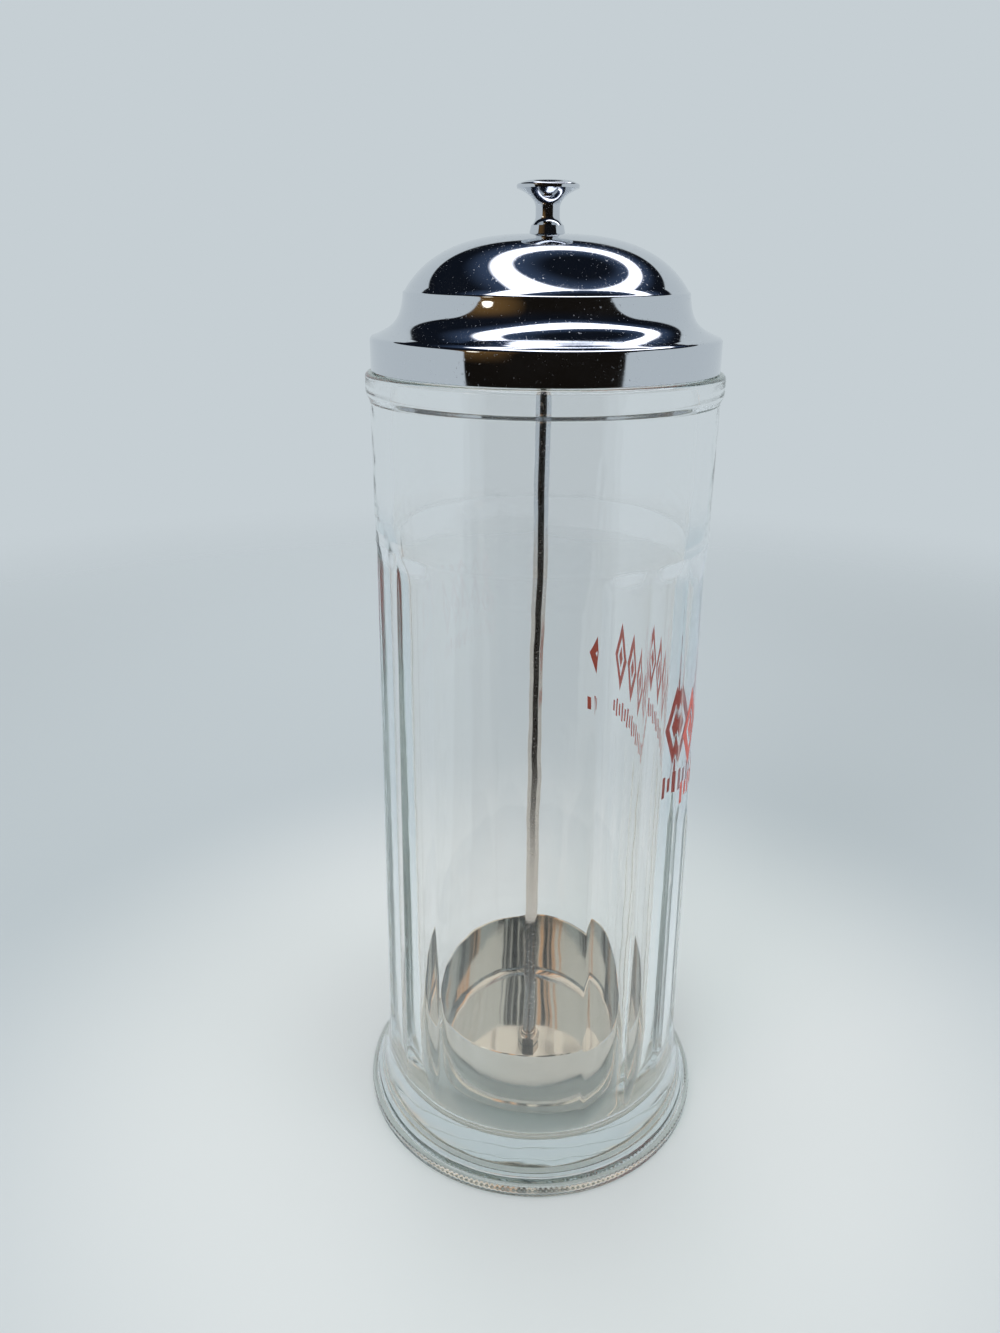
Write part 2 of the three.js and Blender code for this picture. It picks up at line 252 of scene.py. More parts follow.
    is_camera = add(tree, "LightPath", out="Is Camera Ray")
    is_through = add(tree, "LightPath", out="Is Transmission Ray")
    mirrors = add(tree, "LightPath", out="Glossy Depth")
    is_mirror = add(tree, "Math", {0: mirrors, 1: 0.5}, operation="GREATER_THAN")
    plain = add(tree, "Math", {0: is_camera, 1: is_through}, operation="MAXIMUM")
    unmirrored = add(
        tree, "Mix", {0: plain, 6: DAYLIGHT, 7: linear(TENT_WALL)}, out=2, data_type="RGBA"
    )
    seen = add(tree, "Mix", {0: is_mirror, 6: unmirrored, 7: mirrored}, out=2, data_type="RGBA")
    tent = add(tree, "Background", {0: seen})
    add(tree, "OutputWorld", {0: tent})
    bpy.context.scene.world = world


def soft_lamp(name, place, power):
    """A round lamp at a place in millimetres, aimed at the middle of the jar."""
    bpy.ops.object.light_add(type="AREA", location=metres(place))
    lamp = bpy.context.object
    lamp.name = name
    lamp.data.shape = "DISK"
    lamp.data.size = LAMP_SIZE * MM
    lamp.data.energy = power
    lamp.visible_glossy = False
    lamp.visible_transmission = False
    direction = Matrix.Translation(metres(LAMP_AIM)).translation - lamp.location
    lamp.rotation_euler = direction.to_track_quat("-Z", "Y").to_euler()


light_tent()
soft_lamp("key lamp", (-420, -520, 720), 2.4)
soft_lamp("fill lamp", (620, -260, 420), 1.0)
soft_lamp("back lamp", (-120, 620, 520), 1.0)


# Table
# A sheet of pale matt paper. A pool of light is painted round the jar's foot: the paper is
# coloured lighter there and darker beyond it, and it runs into the backdrop.

TABLE_RADIUS, TABLE_SEGMENTS = 900.0, 96
TABLE_HEIGHT = -0.3
TABLE_IN_PAINTED_LIGHT = "E6EBEB"
TABLE_FAR = "C6CFD3"
PAINTED_LIGHT_POOL = (90.0, 230.0)
TABLE_FADE = (420.0, 860.0)
OPENING_SOFTNESS = 0.015


def deselect_all():
    if bpy.context.mode != "OBJECT":
        bpy.ops.object.mode_set(mode="OBJECT")
    bpy.ops.object.select_all(action="DESELECT")


def matt_table_paper():
    """Matt paper with a painted pool of light round the jar, faded out far off. Mirrors see its
    front part painted dark.
    """
    material = bpy.data.materials.new("matt table paper")
    material.use_nodes = True
    tree = material.node_tree
    tree.nodes.clear()
    place = add(tree, "TexCoord", out=3)
    away = add(tree, "VectorMath", {0: place}, out=1, operation="LENGTH")
    # The painted pool of light: the paper's colour is lighter near the jar than far off.
    near, far = metres(PAINTED_LIGHT_POOL)
    painted_pool = add(tree, "MapRange", {0: away, 1: near, 2: far}, interpolation_type="SMOOTHSTEP")
    near, far = linear(TABLE_IN_PAINTED_LIGHT), linear(TABLE_FAR)
    colour = add(tree, "Mix", {0: painted_pool, 6: near, 7: far}, out=2, data_type="RGBA")
    along = add(tree, "SeparateXYZ", {0: place}, out=1)
    frontness = add(tree, "Math", {0: along, 1: away}, operation="DIVIDE")
    before = add(tree, "MapRange", {0: frontness, 1: -OPENING, 2: -OPENING - OPENING_SOFTNESS})
    outlying = add(tree, "Math", {0: before, 1: painted_pool}, operation="MULTIPLY")
    # Painted reflection: mirror rays see the paper in front of the opening, past the pool, painted
    # in the dark room's colour.
    mirrors = add(tree, "LightPath", out="Glossy Depth")
    is_mirror = add(tree, "Math", {0: mirrors, 1: 0.5}, operation="GREATER_THAN")
    painted_dark_in_mirrors = add(tree, "Math", {0: outlying, 1: is_mirror}, operation="MULTIPLY")
    shown = add(tree, "Mix", {0: painted_dark_in_mirrors, 6: colour, 7: linear(ROOM)}, out=2, data_type="RGBA")
    paper = add(tree, "BsdfDiffuse", {0: shown})
    near, far = metres(TABLE_FADE)
    fade = add(tree, "MapRange", {0: away, 1: near, 2: far}, interpolation_type="SMOOTHSTEP")
    faded = add(tree, "MixShader", {0: fade, 1: paper, 2: add(tree, "BsdfTransparent")})
    add(tree, "OutputMaterial", {0: faded})
    return material


deselect_all()
bpy.ops.mesh.primitive_circle_add(
    vertices=TABLE_SEGMENTS,
    radius=TABLE_RADIUS * MM,
    fill_type="NGON",
    location=(0, 0, TABLE_HEIGHT * MM),
)
table = bpy.context.object
table.name = "table"
table.data.materials.append(matt_table_paper())


# Glass jar
# Thick clear glass, pressed in a mould: flutes and panels round the body, a smooth band, a
# bead and a neck at the top, and a flared foot with fine ticks pressed under its edge.
# Light runs round inside such a wall many times before it gets out, hence the bounces.

FOOT_ROUND, FOOT_TOP_ROUND = 1.0, (1.4, 1.5)
FOOT_SIDE_TOP = 2.6
FLARE_BOTTOM, FLARE_TOP = 4.1, 24.0
FLARE_CURVE = 2.5
RIDGE_RADIUS = (46.3, 44.25)
PANEL_TOP, BAND_BOTTOM, BEAD_BOTTOM, SHOULDER = 175.0, 184.0, 218.0, 225.0
BAND_RADIUS, BEAD_RADIUS, BEAD_ROUND = 44.1, 45.0, 1.2
BAND_EDGE = (0.12, 1.5)
BEAD_FOOT = ((BAND_RADIUS, -0.2), (BAND_RADIUS, 0.9), (BEAD_RADIUS, 1.4), (BEAD_RADIUS, 2.8))
NECK_RADIUS, NECK_ROUND, NECK_FILLET, MOUTH_RADIUS = 42.4, 0.6, 0.3, 39.0
BORE_RADIUS_LOW, BORE_CORNER, JAR_FLOOR, BORE_RINGS = 38.2, 6.5, 8.0, 24
PUSH_UP_RADIUS, PUSH_UP_HEIGHT, FOOT_LAND_RADIUS = 40.5, 1.2, 41.7
FLUTE_PITCH = 18
PANEL_SPANS = (3, 1, 1, 7, 1, 1, 3, 1, 1, 1)
PRINT_PANEL = 3
FRONT_PANEL_TURN = -8
WIDE_PANEL_REACH = 27
PANEL_SLOPE, FLUTE_SLOPE = 9.0, 5.0
FLUTE_RUN_OUT = 6.0
SHORT_FLUTE_TOP, SHORT_FLUTE_ROUNDING = 110.0, 8.0
RECESS = 0.8
TICKS, TICK_EDGE, TICK_HEIGHT = (46.4, 50.8), 0.2, 0.45
JAR_SEGMENTS = 400
RIPPLE_SIZE, RIPPLE_HEIGHT = 16.0, 0.16
INNER_BOUNCES = 32
SMOOTH_BELOW = 24


def arc(centre, radius, start, end, steps):
    """Points of a profile on part of a circle or ellipse, between two angles in degrees."""
    across, up = radius if isinstance(radius, tuple) else (radius, radius)
    turns = [math.radians(start + (end - start) * step / steps) for step in range(steps + 1)]
    return [(centre[0] + across * math.cos(t), centre[1] + up * math.sin(t)) for t in turns]


def bow(controls, steps):
    """Points of a profile on a smooth curve that its controls pull into shape."""
    points = []
    for step in range(steps + 1):
        share = step / steps
        line = list(controls)
        while len(line) > 1:
            line = [
                tuple(a + (b - a) * share for a, b in zip(one, two))
                for one, two in zip(line, line[1:])
            ]
        points.append(line[0])
    return points


def turned_piece(name, profile, segments, capped=(False, False), turn=0.0):
    """A round piece: one ring, then each next ring drawn out of the one before."""
    deselect_all()
    radius, height = profile[0]
    bpy.ops.mesh.primitive_circle_add(
        vertices=segments,
        radius=radius * MM,
        fill_type="TRIFAN" if capped[0] else "NOTHING",
        location=(0, 0, height * MM),
        rotation=(0, 0, math.radians(turn)),
    )
    piece = bpy.context.object
    piece.name = piece.data.name = name
    bpy.ops.object.transform_apply(location=True, rotation=True)
    bpy.ops.object.mode_set(mode="EDIT")
    bpy.ops.mesh.select_mode(type="EDGE")
    bpy.ops.mesh.select_all(action="DESELECT")
    bpy.ops.mesh.select_non_manifold()
    for next_radius, next_height in profile[1:]:
        climb = (0, 0, (next_height - height) * MM)
        bpy.ops.mesh.extrude_edges_move(TRANSFORM_OT_translate={"value": climb})
        share = next_radius / radius
        bpy.ops.transform.resize(value=(share, share, 1), center_override=(0, 0, 0))
        radius, height = next_radius, next_height
    if capped[1]:
        bpy.ops.mesh.extrude_edges_move(TRANSFORM_OT_translate={"value": (0, 0, 0)})
        bpy.ops.mesh.merge(type="CENTER")
    bpy.ops.mesh.select_all(action="SELECT")
    bpy.ops.mesh.remove_doubles(threshold=0.001 * MM)
    bpy.ops.mesh.normals_make_consistent(inside=False)
    bpy.ops.object.mode_set(mode="OBJECT")
    bpy.ops.object.shade_smooth_by_angle(angle=math.radians(SMOOTH_BELOW))
    return piece


def ridge_radius(height):
    """The jar's outside at a height, on the ridges between its panels."""
    if height <= FLARE_TOP:
        climbed = (height - FLARE_BOTTOM) / (FLARE_TOP - FLARE_BOTTOM)
        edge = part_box("glass_jar")[1][0] / MM - FOOT_TOP_ROUND[0]
        return RIDGE_RADIUS[0] + (edge - RIDGE_RADIUS[0]) * (1 - climbed) ** FLARE_CURVE
    along = (height - FLARE_TOP) / (BAND_BOTTOM - FLARE_TOP)
    return RIDGE_RADIUS[0] + (RIDGE_RADIUS[1] - RIDGE_RADIUS[0]) * along


def panel_at(angle):
    """The panel at a place round the jar, how far along it the place is, and its width."""
    along = (angle - FRONT_PANEL_TURN + PANEL_SPANS[0] * FLUTE_PITCH / 2) % 360
    for panel, span in enumerate(PANEL_SPANS):
        width = span * FLUTE_PITCH
        if along < width:
            break
        along -= width
    return panel, along, width


def smooth_step(value, low, high):
    share = min(1.0, max(0.0, (value - low) / (high - low)))
    return share * share * (3 - 2 * share)


def recess_share(angle, height):
    """How far a place lies towards the panels' depth: 0 on a ridge, 1 in the middle of a panel."""
    panel, along, width = panel_at(angle)
    reach = min(width / 2, WIDE_PANEL_REACH)
    rise = max(0.0, 1 - min(along, width - along) / reach) ** 2
    if panel == PRINT_PANEL:
        fading = SHORT_FLUTE_TOP - SHORT_FLUTE_ROUNDING
        short_end = 1 - smooth_step(height, fading, SHORT_FLUTE_TOP)
        past = along % FLUTE_PITCH
        beside = min(past, FLUTE_PITCH - past) / (FLUTE_PITCH / 2)
        rise = max(rise, short_end * (1 - beside) ** 2)
    low_end = smooth_step(height, FLARE_TOP - FLUTE_RUN_OUT, FLARE_TOP + FLUTE_RUN_OUT)
    slope = PANEL_SLOPE if width > FLUTE_PITCH else FLUTE_SLOPE
    high_end = min(1.0, max(0.0, (BAND_BOTTOM - height) / slope))
    return low_end * high_end * (1 - rise)


def bore_profile(top):
    high, low = top - 2 * NECK_ROUND, JAR_FLOOR + BORE_CORNER
    wall = []
    for ring in range(1, BORE_RINGS):
        share = ring / BORE_RINGS
        radius = MOUTH_RADIUS + (BORE_RADIUS_LOW - MOUTH_RADIUS) * share
        wall.append((radius, high + (low - high) * share))
    return wall + arc((BORE_RADIUS_LOW - BORE_CORNER, low), BORE_CORNER, 0, -90, 8)


def jar_profile():
    """The jar's half section, with its rings close together where the surface bends."""
    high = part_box("glass_jar")[1] / MM
    foot, top = high[0], high[2]
    tick_low, tick_high = TICKS
    flare = [FLARE_BOTTOM + (FLARE_TOP - FLARE_BOTTOM) * (step / 12) ** 1.3 for step in range(13)]
    body = [FLARE_TOP + step for step in (2, 4, 6, 12, 24, 40, 56, 70)]
    short_tops = [SHORT_FLUTE_TOP - SHORT_FLUTE_ROUNDING + step for step in range(9)]
    upper = [SHORT_FLUTE_TOP + step for step in (12, 24, 36, 48, 58)]
    slope = [PANEL_TOP - 0.2, PANEL_TOP + 0.2, 177.0, 179.0, 181.0, 182.0, 183.0, 183.8]
    heights = flare + body + short_tops + upper + slope
    return (
        [(PUSH_UP_RADIUS, PUSH_UP_HEIGHT), (FOOT_LAND_RADIUS, 0)]
        + [(tick_low - TICK_EDGE, 0), (tick_low, 0), (tick_high, 0), (tick_high + TICK_EDGE, 0)]
        + arc((foot - FOOT_ROUND, FOOT_ROUND), FOOT_ROUND, -90, 0, 5)
        + arc((foot - FOOT_TOP_ROUND[0], FOOT_SIDE_TOP), FOOT_TOP_ROUND, 0, 75, 5)
        + [(ridge_radius(height), height) for height in heights]
        + [(BAND_RADIUS + BAND_EDGE[0], BAND_BOTTOM), (BAND_RADIUS, BAND_BOTTOM + BAND_EDGE[1])]
        + [(BAND_RADIUS, height) for height in (192.0, 200.0, 208.0, BEAD_BOTTOM - 1.0)]
        + bow([(radius, BEAD_BOTTOM + rise) for radius, rise in BEAD_FOOT], 10)
        + arc((BEAD_RADIUS - BEAD_ROUND, SHOULDER - BEAD_ROUND), BEAD_ROUND, 0, 90, 6)
        + [(NECK_RADIUS + NECK_FILLET, SHOULDER), (NECK_RADIUS, SHOULDER + NECK_FILLET)]
        + arc((NECK_RADIUS - NECK_ROUND, top - NECK_ROUND), NECK_ROUND, 0, 90, 4)
        + arc((MOUTH_RADIUS + NECK_ROUND, top - NECK_ROUND), NECK_ROUND, 90, 180, 4)
        + bore_profile(top)
    )


def weigh(piece, group_name, weight_of):
    """Marks how far each point is pressed in, by its angle, its radius and its height."""
    group = piece.vertex_groups.new(name=group_name)
    for vertex in piece.data.vertices:
        x, y, z = (value / MM for value in vertex.co)
        weight = weight_of(math.degrees(math.atan2(x, -y)), math.hypot(x, y), z)
        if weight > 0:
            group.add([vertex.index], weight, "REPLACE")


def press(piece, group_name, depth, texture=None):
    """Presses the marked points in by a depth, or ripples them where a texture is given."""
    modifier = piece.modifiers.new(group_name, "DISPLACE")
    modifier.vertex_group = group_name
    modifier.mid_level = 0.5 if texture else 0.0
    modifier.strength = -depth * MM
    if texture:
        modifier.texture = texture
        modifier.texture_coords = "LOCAL"
    bpy.context.view_layer.objects.active = piece
    bpy.ops.object.modifier_apply(modifier=modifier.name)


def pressed_jar():
    """The turned blank with its panels and flutes, the ticks under its edge and a wavy bore."""
    seam = FRONT_PANEL_TURN - PANEL_SPANS[0] * FLUTE_PITCH / 2
    jar = turned_piece(
        "pressed_glass_jar", jar_profile(), JAR_SEGMENTS, capped=(True, True), turn=seam
    )
    tick_pitch = 360 / JAR_SEGMENTS

    def panel_weight(angle, radius, height):
        if radius < NECK_RADIUS or not FLARE_TOP - FLUTE_RUN_OUT < height < BAND_BOTTOM:
            return 0
        return recess_share(angle, height)

    def tick_weight(angle, radius, height):
        on_ring = height < 0.01 and TICKS[0] - 0.05 < radius < TICKS[1] + 0.05
        return 1 if on_ring and round((angle - seam) / tick_pitch) % 2 else 0

    def bore_weight(angle, radius, height):
        return 1 if radius < MOUTH_RADIUS and JAR_FLOOR + 4 < height < SHOULDER else 0

    weigh(jar, "panels", panel_weight)
    weigh(jar, "ticks", tick_weight)
    weigh(jar, "bore", bore_weight)
    press(jar, "panels", RECESS)
    press(jar, "ticks", TICK_HEIGHT)
    ripple = bpy.data.textures.new("plunger ripple", "CLOUDS")
    ripple.noise_scale = RIPPLE_SIZE * MM
    press(jar, "bore", RIPPLE_HEIGHT, ripple)
    return jar


def clear_pressed_glass():
    """Soda glass, pressed and fire polished: clear, faintly blue-green, with a soft waviness."""
    material = bpy.data.materials.new("clear pressed glass")
    material.use_nodes = True
    tree = material.node_tree
    tree.nodes.clear()
    place = add(tree, "TexCoord", out=3)
    wave = add(tree, "TexNoise", {"Vector": place, "Scale": 1 / (11 * MM), "Detail": 1.0})
    bump = add(tree, "Bump", {"Height": wave, "Strength": 0.3, "Distance": 0.3 * MM})
    glass = add(
        tree,
        "BsdfPrincipled",
        {
            "Base Color": (1, 1, 1, 1),
            "Roughness": 0.0,
            "IOR": 1.5,
            "Transmission Weight": 1.0,
            "Normal": bump,
        },
    )
    lets_lamps_through = add(tree, "BsdfTransparent", {"Color": linear("EEF4F3")})
    shadow = add(tree, "LightPath", out="Is Shadow Ray")
    surface = add(tree, "MixShader", {0: shadow, 1: glass, 2: lets_lamps_through})
    depth = add(tree, "VolumeAbsorption", {"Color": linear("C9D9D5"), "Density": 5.0})
    add(tree, "OutputMaterial", {"Surface": surface, "Volume": depth})
    return material


bpy.context.scene.cycles.max_bounces = INNER_BOUNCES
bpy.context.scene.cycles.glossy_bounces = INNER_BOUNCES
bpy.context.scene.cycles.transmission_bounces = INNER_BOUNCES
jar = pressed_jar()
jar.data.materials.append(clear_pressed_glass())
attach(jar, "jar")
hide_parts("glass_jar")


# Print
# A band of red enamel, screened on the smooth panel and fired into the glass: a row of bold
# lozenges, each with a small one inside, and under them a row of fine dashes.

PRINT_MIDDLE = FRONT_PANEL_TURN + 113
PRINT_HALF_TURN = 46
PRINT_DEPTH = 0.03
PRINT_FILM = 0.06
LOZENGE_MIDDLE, LOZENGE_SIZE, LOZENGES = 134.5, (13.2, 23.0), 5
LOZENGE_STROKE, LOZENGE_HEART = 2.4, (4.2, 7.4)
DASH_MIDDLE, DASH_SIZES, DASHES = 117.0, ((1.8, 6.5), (1.8, 4.2)), 20


def print_patch(lozenge, across, height, size, cuts, stroke=0.0):
    """One patch of film laid out flat, its middle so far across the print and so high."""
    deselect_all()
    place = {"location": (across * MM, 0, height * MM), "rotation": (math.pi / 2, 0, 0)}
    if lozenge:
        bpy.ops.mesh.primitive_circle_add(vertices=4, radius=0.5 * MM, fill_type="NGON", **place)
    else:
        bpy.ops.mesh.primitive_plane_add(size=1 * MM, **place)
    patch = bpy.context.object
    patch.scale = (size[0], size[1], 1)
    bpy.ops.object.transform_apply(location=True, rotation=True, scale=True)
    bpy.ops.object.mode_set(mode="EDIT")
    bpy.ops.mesh.select_all(action="SELECT")
    if stroke:
        bpy.ops.mesh.inset(thickness=stroke * MM)
        bpy.ops.mesh.delete(type="FACE")
        bpy.ops.mesh.select_all(action="SELECT")
    bpy.ops.mesh.subdivide(number_cuts=cuts)
    bpy.ops.object.mode_set(mode="OBJECT")
    return patch


def red_print():
    """The flat patches joined, bent round the jar, laid on its skin and given their thickness."""
    radius = (ridge_radius(LOZENGE_MIDDLE) - RECESS) * MM
    half_turn = math.radians(PRINT_HALF_TURN)
    run = 2 * half_turn * radius / MM
    patches = []
    for index in range(LOZENGES):
        across = run * ((index + 0.5) / LOZENGES - 0.5)
        patches += [
            print_patch(True, across, LOZENGE_MIDDLE, LOZENGE_SIZE, 5, LOZENGE_STROKE),
            print_patch(True, across, LOZENGE_MIDDLE, LOZENGE_HEART, 3),
        ]
    for index in range(DASHES):
        across = run * ((index + 0.5) / DASHES - 0.5)
        patches.append(print_patch(False, across, DASH_MIDDLE, DASH_SIZES[index % 2], 2))
    deselect_all()
    for patch in patches:
        patch.select_set(True)
    bpy.context.view_layer.objects.active = patches[0]
    bpy.ops.object.join()
    film = bpy.context.object
    film.name = film.data.name = "red_print"
    bend = film.modifiers.new("bend round the jar", "SIMPLE_DEFORM")
    bend.deform_method, bend.deform_axis, bend.angle = "BEND", "Z", 2 * half_turn
    bpy.ops.object.modifier_apply(modifier=bend.name)
    film.location = (0, -radius, 0)
    bpy.ops.object.transform_apply(location=True)
    film.rotation_euler = (0, 0, math.radians(PRINT_MIDDLE))
    bpy.ops.object.transform_apply(rotation=True)
    cling = film.modifiers.new("cling to the glass", "SHRINKWRAP")
    cling.target, cling.wrap_method, cling.wrap_mode = jar, "NEAREST_SURFACEPOINT", "ABOVE_SURFACE"
    cling.offset = -PRINT_DEPTH * MM
    bpy.ops.object.modifier_apply(modifier=cling.name)
    thicken = film.modifiers.new("film", "SOLIDIFY")
    thicken.thickness, thicken.offset = PRINT_FILM * MM, 1
    bpy.ops.object.modifier_apply(modifier=thicken.name)
    return film


def red_enamel():
    """Fired ceramic ink: opaque red, half gloss, faintly uneven where the screen laid it down."""
    material = bpy.data.materials.new("fired red enamel")
    material.use_nodes = True
    tree = material.node_tree
    tree.nodes.clear()
    place = add(tree, "TexCoord", out=3)
    screen = add(tree, "TexNoise", {"Vector": place, "Scale": 1 / (0.8 * MM), "Detail": 2.0})
    thin, thick = linear("CC4029"), linear("DE553A")
    tone = add(tree, "Mix", {0: screen, 6: thin, 7: thick}, out=2, data_type="RGBA")
    roughness = add(tree, "MapRange", {0: screen, 3: 0.28, 4: 0.45})
    ink = add(tree, "BsdfPrincipled", {"Base Color": tone, "Roughness": roughness, "IOR": 1.5})
    add(tree, "OutputMaterial", {"Surface": ink})
    return material


film = red_print()
film.data.materials.append(red_enamel())
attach(film, "jar")


# Lid
# Sheet steel pressed to a domed cap with a deep cove, then plated bright: it mirrors the
# tent in broad pale and dark fields, with the softbox as a ring on the dome and on the cove.

LID_SHEET = 0.7
SKIRT_HEIGHT, LID_SHOULDER = 7.0, 1.2
COVE_HEIGHT, COVE_INSET = 9.4, 7.2
LIP_HEIGHT, LIP_INSET = 0.9, 0.5
SKIRT_EDGE = ((0.25, 0), (0.05, 0.08), (0, 0.3))
COVE_BENDS = ((0.62, 0.21), (0.9, 0.32))
LIP_BEND = (0.15, 0.6)
DOME_BENDS = ((0.865, 0.59), (0.6, 1))
LAND_RADIUS, LID_HOLE_RADIUS = 5.0, 2.3
LID_SEGMENTS = 160


def lid_profile():
    """The outside of the lid, from the skirt's edge up over the cove and the dome to the hole."""
    low, high = (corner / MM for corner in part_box("lid_shell"))
    skirt, base, top = high[0], low[2], high[2]
    cove_foot = (skirt - LID_SHOULDER, base + SKIRT_HEIGHT + LID_SHOULDER)
    cove_top = (cove_foot[0] - COVE_INSET, cove_foot[1] + COVE_HEIGHT)
    cove_bends = [
        (cove_foot[0] - COVE_INSET * across, cove_foot[1] + COVE_HEIGHT * up)
        for across, up in COVE_BENDS
    ]
    dome_foot = (cove_top[0] - LIP_INSET, cove_top[1] + LIP_HEIGHT)
    lip_bend = (cove_top[0] + LIP_BEND[0], cove_top[1] + LIP_HEIGHT * LIP_BEND[1])
    dome_rise = top - dome_foot[1]
    dome_bends = [
        (dome_foot[0] * across, dome_foot[1] + dome_rise * up)
        for across, up in DOME_BENDS
    ]
    return (
        [(skirt - inset, base + rise) for inset, rise in SKIRT_EDGE]
        + arc((cove_foot[0], base + SKIRT_HEIGHT), LID_SHOULDER, 0, 64, 6)
        + bow([cove_foot, *cove_bends, cove_top], 24)[1:]
        + bow([cove_top, lip_bend, dome_foot], 4)[1:]
        + bow([dome_foot, *dome_bends, (LAND_RADIUS, top)], 26)[1:]
        + [(LID_HOLE_RADIUS, top)]
    )


def inner_skin(profile, sheet):
    """The same profile, one sheet's thickness further in."""
    skin = []
    for index, (radius, height) in enumerate(profile):
        before = profile[max(index - 1, 0)]
        after = profile[min(index + 1, len(profile) - 1)]
        run, climb = after[0] - before[0], after[1] - before[1]
        length = math.hypot(run, climb)
        skin.append((radius - climb / length * sheet, height + run / length * sheet))
    return skin


def bright_chrome(name, smooth, smeared):
    """Bright chrome plate over polished metal: a cold mirror with faint smears and dust."""
    material = bpy.data.materials.new(name)
    material.use_nodes = True
    tree = material.node_tree
    tree.nodes.clear()
    place = add(tree, "TexCoord", out=3)
    smears = add(tree, "TexNoise", {"Vector": place, "Scale": 1 / (9 * MM), "Detail": 5.0})
    wiped = add(tree, "MapRange", {0: smears, 1: 0.35, 2: 0.75, 3: smooth, 4: smeared})
    dust = add(tree, "TexNoise", {"Vector": place, "Scale": 1 / (0.6 * MM), "Detail": 2.0})
    specks = add(tree, "MapRange", {0: dust, 1: 0.64, 2: 0.74, 4: 0.3})
    roughness = add(tree, "Math", {0: wiped, 1: specks}, operation="ADD")
    dents = add(tree, "TexNoise", {"Vector": place, "Scale": 1 / (16 * MM), "Detail": 1.0})
    bump = add(tree, "Bump", {"Height": dents, "Strength": 0.12, "Distance": 0.2 * MM})
    plate = add(
        tree,
        "BsdfPrincipled",
        {
            "Base Color": linear("D9DCE1"),
            "Metallic": 1.0,
            "Roughness": roughness,
            "Normal": bump,
        },
    )
    add(tree, "OutputMaterial", {"Surface": plate})
    return material


outer_skin = lid_profile()
inside_skin = inner_skin(outer_skin, LID_SHEET)
lid = turned_piece("domed_lid", outer_skin + inside_skin[::-1] + outer_skin[:1], LID_SEGMENTS)
chrome = bright_chrome("bright chrome plate", 0.03, 0.1)
lid.data.materials.append(chrome)
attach(lid, "lid")
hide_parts("lid_shell")


# Knob
# Turned brass, plated like the lid: a short tapered collar, a waisted neck and a trumpet
# flare up to a rounded lip with a flat top.

COLLAR_FOOT, COLLAR_TOP, COLLAR_HEIGHT = 4.35, 3.95, 1.55
KNOB_NECK_RADIUS, KNOB_NECK_HEIGHT = 2.9, 4.05
NECK_FOOT_BEND = 0.8
KNOB_FLARE_HEIGHT, KNOB_FLARE_BEND = 3.9, (0.08, 0.62)
KNOB_LIP_ROUND = 0.55
KNOB_FACE = ((1.3, 0.25), (2.0, 0.05))
KNOB_BORE_RADIUS = 2.3
KNOB_SEGMENTS = 96


def knob_profile():
    """The knob's half section, from its foot on the lid up to the middle of its flat top."""
    low, high = (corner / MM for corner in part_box("lift_knob"))
    base, top, lip = low[2], high[2], high[0]
    collar_top = base + COLLAR_HEIGHT
    waist = collar_top + KNOB_NECK_HEIGHT
    flare_top = waist + KNOB_FLARE_HEIGHT
    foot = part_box("lid_shell")[1][2] / MM
    neck_foot = (KNOB_NECK_RADIUS, collar_top + NECK_FOOT_BEND * (COLLAR_TOP - KNOB_NECK_RADIUS))
    neck_middle = (KNOB_NECK_RADIUS, collar_top + KNOB_NECK_HEIGHT / 2)
    flare_bend = (
        KNOB_NECK_RADIUS + (lip - KNOB_NECK_RADIUS) * KNOB_FLARE_BEND[0],
        waist + KNOB_FLARE_HEIGHT * KNOB_FLARE_BEND[1],
    )
    return (
        [(KNOB_BORE_RADIUS, foot + 0.1), (COLLAR_FOOT - 0.02, foot), (COLLAR_FOOT, foot + 0.03)]
        + bow([(COLLAR_TOP, collar_top), neck_foot, neck_middle], 10)
        + bow([(KNOB_NECK_RADIUS, waist), flare_bend, (lip - 0.1, flare_top)], 14)
        + arc((lip - KNOB_LIP_ROUND, flare_top + KNOB_LIP_ROUND), KNOB_LIP_ROUND, -20, 90, 7)
        + [(lip - inset, top - drop) for inset, drop in KNOB_FACE]
        + [(1.0, top)]
    )


knob = turned_piece("trumpet_knob", knob_profile(), KNOB_SEGMENTS, capped=(True, True))
knob.data.materials.append(chrome)
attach(knob, "insert")
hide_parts("lift_knob")


# Rod
# Drawn steel rod, 4 mm thick, with chamfered ends, and plated like the lid but duller. The
# knob screws onto it over the lid, and the cup sits between two nuts at its lower end.

ROD_RADIUS, ROD_CHAMFER = 2.0, 0.4
ROD_SEGMENTS = 48

rod_low, rod_high = (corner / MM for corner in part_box("lift_rod"))
rod = turned_piece(
    "drawn_rod",
    [
        (ROD_RADIUS - ROD_CHAMFER, rod_low[2]),
        (ROD_RADIUS, rod_low[2] + ROD_CHAMFER),
        (ROD_RADIUS, rod_high[2] - ROD_CHAMFER),
        (ROD_RADIUS - ROD_CHAMFER, rod_high[2]),
    ],
    ROD_SEGMENTS,
    capped=(True, True),
)
rod.data.materials.append(bright_chrome("plated rod", 0.1, 0.2))
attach(rod, "insert")
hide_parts("lift_rod")


# Cup
# Stainless sheet drawn to a shallow cup and polished inside and out. Its floor mirrors the
# wall and the nut, and the polishing leaves fine lines round it.

CUP_SHEET, CUP_CORNER = 0.6, 3.4
CUP_RIM_ROUND = (0.15, 0.25)
CUP_HOLE_RADIUS = 2.3
CUP_SEGMENTS = 144


